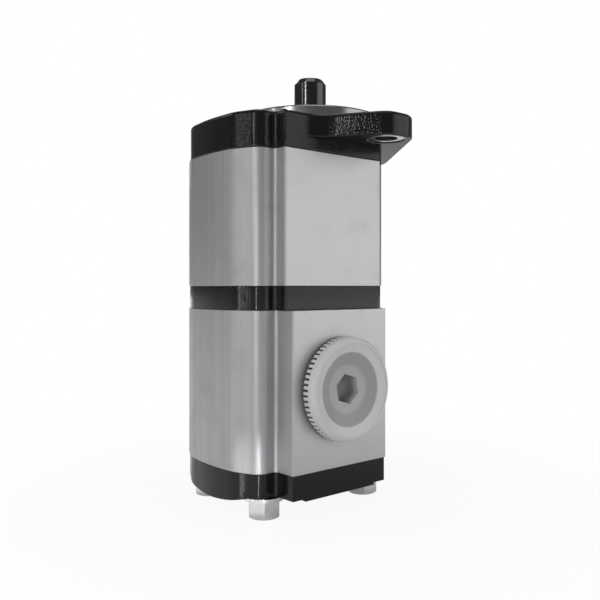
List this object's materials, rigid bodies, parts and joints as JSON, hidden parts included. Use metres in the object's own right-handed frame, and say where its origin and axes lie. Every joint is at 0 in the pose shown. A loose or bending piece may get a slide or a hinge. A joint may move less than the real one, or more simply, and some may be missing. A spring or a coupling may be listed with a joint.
{
  "type": "hydraulic gear pump",
  "caption": "Upright tandem hydraulic gear pump with a two-bolt pilot flange, a plain drive shaft, a shared inlet closed by a screw plug and separate outlets.",
  "frame": {"origin": "on the drive shaft axis, level with the mounting face of the front flange, at the centre of the two mounting holes", "axes": "+Z along the drive shaft out of its free end, +Y away from the inlet port face towards the outlets, +X from the idler gears towards the drive shaft"},
  "size_m": [0.1469, 0.173, 0.2818],
  "materials": {
    "black_paint": "glossy black paint over machined castings",
    "body_aluminium": "satin extruded aluminium",
    "shaft_steel": "blackened and oiled steel",
    "gear_steel": "case-hardened ground steel",
    "block_aluminium": "die-cast bearing alloy",
    "bush_bronze": "bronze-lined steel bush",
    "seal_rubber": "black nitrile rubber",
    "backup_plastic": "natural white engineering plastic",
    "spring_steel": "bright spring wire",
    "ring_steel": "blackened spring steel",
    "zinc_steel": "zinc-plated steel",
    "plug_plastic": "natural white moulded polyethylene"
  },
  "bodies": {
    "housing": {"front_flange": "black_paint", "front_body": "body_aluminium", "centre_plate": "black_paint", "rear_body": "body_aluminium", "rear_cover": "black_paint", "front_upper_block": "block_aluminium", "front_lower_block": "block_aluminium", "rear_upper_block": "block_aluminium", "rear_lower_block": "block_aluminium", "front_upper_bushes": "bush_bronze", "front_lower_bushes": "bush_bronze", "rear_upper_bushes": "bush_bronze", "rear_lower_bushes": "bush_bronze", "front_upper_block_seal": "seal_rubber", "front_lower_block_seal": "seal_rubber", "rear_upper_block_seal": "seal_rubber", "rear_lower_block_seal": "seal_rubber", "front_upper_backup": "backup_plastic", "front_lower_backup": "backup_plastic", "rear_upper_backup": "backup_plastic", "rear_lower_backup": "backup_plastic", "flange_gasket": "seal_rubber", "plate_upper_gasket": "seal_rubber", "plate_lower_gasket": "seal_rubber", "cover_gasket": "seal_rubber", "shaft_lip_seal": "seal_rubber", "lip_seal_spring": "spring_steel", "seal_retaining_ring": "ring_steel", "clamp_studs": "zinc_steel", "stud_nuts": "zinc_steel", "stud_washers": "zinc_steel", "dowel_pins": "gear_steel"},
    "drive_train": {"drive_shaft": "shaft_steel", "rear_drive_gear": "gear_steel", "shaft_coupling": "gear_steel"},
    "front_idler": {"front_driven_gear": "gear_steel"},
    "rear_idler": {"rear_driven_gear": "gear_steel"},
    "plug_washer": {"inlet_plug_seal": "seal_rubber"},
    "screw_plug": {"inlet_plug": "plug_plastic"}
  },
  "joints": [
    {"name": "drive_spin", "type": "hinge", "parent": "housing", "child": "drive_train", "pos_m": [0, 0, 0], "axis": [0, 0, 1], "continuous": true},
    {"name": "front_idler_spin", "type": "hinge", "parent": "housing", "child": "front_idler", "pos_m": [-0.042, 0, 0], "axis": [0, 0, 1], "continuous": true},
    {"name": "rear_idler_spin", "type": "hinge", "parent": "housing", "child": "rear_idler", "pos_m": [-0.042, 0, 0], "axis": [0, 0, 1], "continuous": true},
    {"name": "plug_travel", "type": "slide", "parent": "housing", "child": "plug_washer", "axis": [0, -1, 0], "range_m": [0, 0.0116]},
    {"name": "plug_turn", "type": "hinge", "parent": "plug_washer", "child": "screw_plug", "pos_m": [-0.021, -0.06, -0.16725], "axis": [0, -1, 0], "range_deg": [0, 1800]}
  ],
  "couplings": [
    {"joint": "front_idler_spin", "follows": "drive_spin", "ratio": -1},
    {"joint": "rear_idler_spin", "follows": "drive_spin", "ratio": -1},
    {"joint": "plug_travel", "follows": "plug_turn", "m_per_rad": 0.00036765}
  ]
}
